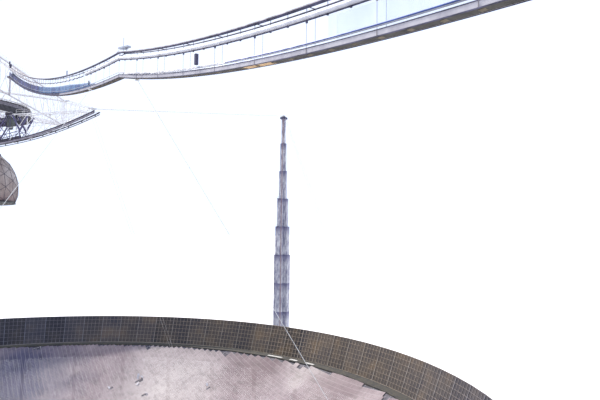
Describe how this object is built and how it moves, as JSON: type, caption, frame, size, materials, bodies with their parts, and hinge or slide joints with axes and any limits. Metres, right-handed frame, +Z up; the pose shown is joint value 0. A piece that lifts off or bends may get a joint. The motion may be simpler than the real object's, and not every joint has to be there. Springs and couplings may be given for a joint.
{
  "type": "scale model of a radio telescope",
  "caption": "Fixed spherical radio dish with a fence around its rim, under a cable-hung triangular platform with a turning arm, a dome and a catwalk.",
  "frame": {"origin": "on the floor under the lowest point of the dish, at the centre of the centre block's underside", "axes": "+Z up; the tower that the catwalk leads to stands on -Y; the other two towers stand on the +Y side, one towards +X and one towards -X"},
  "size_m": [35.6772, 30.8973, 9.8203],
  "materials": {
    "panels": "weathered, with brown stains",
    "mesh": "weathered galvanised mesh",
    "concrete": "rough, stained concrete",
    "steel": "weathered paint",
    "cable": "galvanised strand",
    "dome": "weathered, with brown stains",
    "catwalk": "weathered blue paint"
  },
  "bodies": {
    "structure": {"anchor_block_east": "concrete", "anchor_block_south": "concrete", "anchor_block_west": "concrete", "azimuth_ring": "steel", "backstays_east": "cable", "backstays_south": "cable", "backstays_west": "cable", "catwalk_deck": "catwalk", "catwalk_guy_east": "cable", "catwalk_guy_west": "cable", "catwalk_platform_landing": "catwalk", "catwalk_rail_east": "catwalk", "catwalk_rail_west": "catwalk", "catwalk_tower_landing": "catwalk", "centre_block": "concrete", "east_tower": "concrete", "ground_screen_1": "mesh", "ground_screen_2": "mesh", "ground_screen_3": "mesh", "main_cables_east": "cable", "main_cables_south": "cable", "main_cables_west": "cable", "platform_corner_east": "steel", "platform_corner_south": "steel", "platform_corner_west": "steel", "platform_floor_beams": "steel", "platform_truss_opposite_east": "steel", "platform_truss_opposite_south": "steel", "platform_truss_opposite_west": "steel", "reflector_centre": "panels", "reflector_inner_1": "panels", "reflector_inner_2": "panels", "reflector_inner_3": "panels", "reflector_inner_4": "panels", "reflector_inner_5": "panels", "reflector_inner_6": "panels", "reflector_outer_1": "panels", "reflector_outer_2": "panels", "reflector_outer_3": "panels", "reflector_outer_4": "panels", "reflector_outer_5": "panels", "reflector_outer_6": "panels", "rim_beam_1": "concrete", "rim_beam_2": "concrete", "rim_beam_3": "concrete", "south_tower": "concrete", "tie_down_block_east": "concrete", "tie_down_block_south": "concrete", "tie_down_block_west": "concrete", "tie_down_cables_east": "cable", "tie_down_cables_south": "cable", "tie_down_cables_west": "cable", "west_tower": "concrete"},
    "azimuth_arm": {"arm_truss_right": "steel", "arm_truss_left": "steel", "line_feed_house": "steel", "line_feed": "steel"},
    "dome": {"dome_shell": "dome", "dome_floor": "dome", "dome_carriage": "steel"}
  },
  "joints": [
    {"name": "azimuth_turn", "type": "hinge", "parent": "structure", "child": "azimuth_arm", "pos_m": [0, 0, 7.8], "axis": [0, 0, 1], "range_deg": [-360, 360]},
    {"name": "dome_travel", "type": "hinge", "parent": "azimuth_arm", "child": "dome", "pos_m": [0, 0, 13.56], "axis": [-0.7672, -0.6414, 0], "range_deg": [-1.4, 18.3]}
  ]
}
